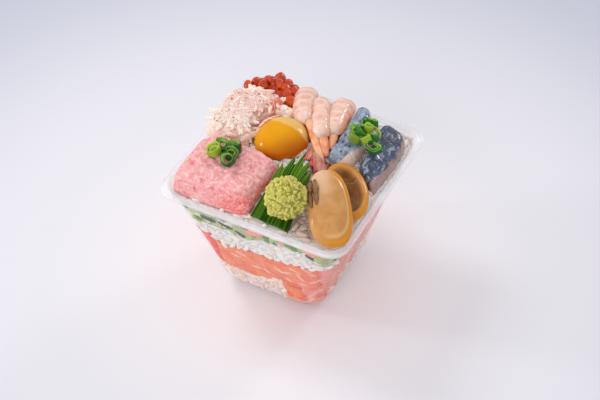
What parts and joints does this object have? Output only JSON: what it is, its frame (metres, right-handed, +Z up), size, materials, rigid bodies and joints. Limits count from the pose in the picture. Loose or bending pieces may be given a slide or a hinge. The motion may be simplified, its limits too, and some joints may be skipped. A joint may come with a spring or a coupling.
{
  "type": "layered seafood rice cup",
  "caption": "Clear square tapered cup packed with layers of rice, salmon and cucumber and heaped with raw seafood, egg yolk, leaf and wasabi.",
  "frame": {"origin": "middle of the cup's flat underside, on the surface that it stands on", "axes": "+Z up out of the cup's mouth; -Y towards the front wall that shows the layers; +X to the right of that wall"},
  "size_m": [0.096, 0.096, 0.0912],
  "materials": {
    "clear_plastic": "clear, glossy thin thermoformed plastic",
    "rice": "cooked rice: soft sheen, slightly see-through grains",
    "salmon": "moist raw fish with pale fat lines",
    "cucumber": "moist cut cucumber with dark skin",
    "tuna": "moist minced raw fish",
    "spring_onion": "smooth moist green stalk",
    "crab": "moist fibrous shreds",
    "roe": "glossy wet beads",
    "yolk": "glossy wet skin",
    "prawn": "wet, slightly see-through flesh",
    "silver_fish": "wet silver skin",
    "clam": "glazed, moist",
    "leaf": "smooth waxy leaf",
    "wasabi": "dull crumbly paste"
  },
  "bodies": {
    "root": {"cup": "clear_plastic", "rice_base": "rice", "salmon_layer": "salmon", "rice_middle": "rice", "cucumber_layer": "cucumber", "rice_top": "rice", "minced_tuna": "tuna", "onion_rings_tuna": "spring_onion", "crab_heap": "crab", "salmon_roe": "roe", "egg_yolk": "yolk", "prawn_1": "prawn", "prawn_2": "prawn", "prawn_3": "prawn", "fish_slice_1": "silver_fish", "fish_slice_2": "silver_fish", "onion_rings_fish": "spring_onion", "clam_front": "clam", "clam_back": "clam", "leaf_divider": "leaf", "wasabi_ball": "wasabi"}
  },
  "joints": []
}
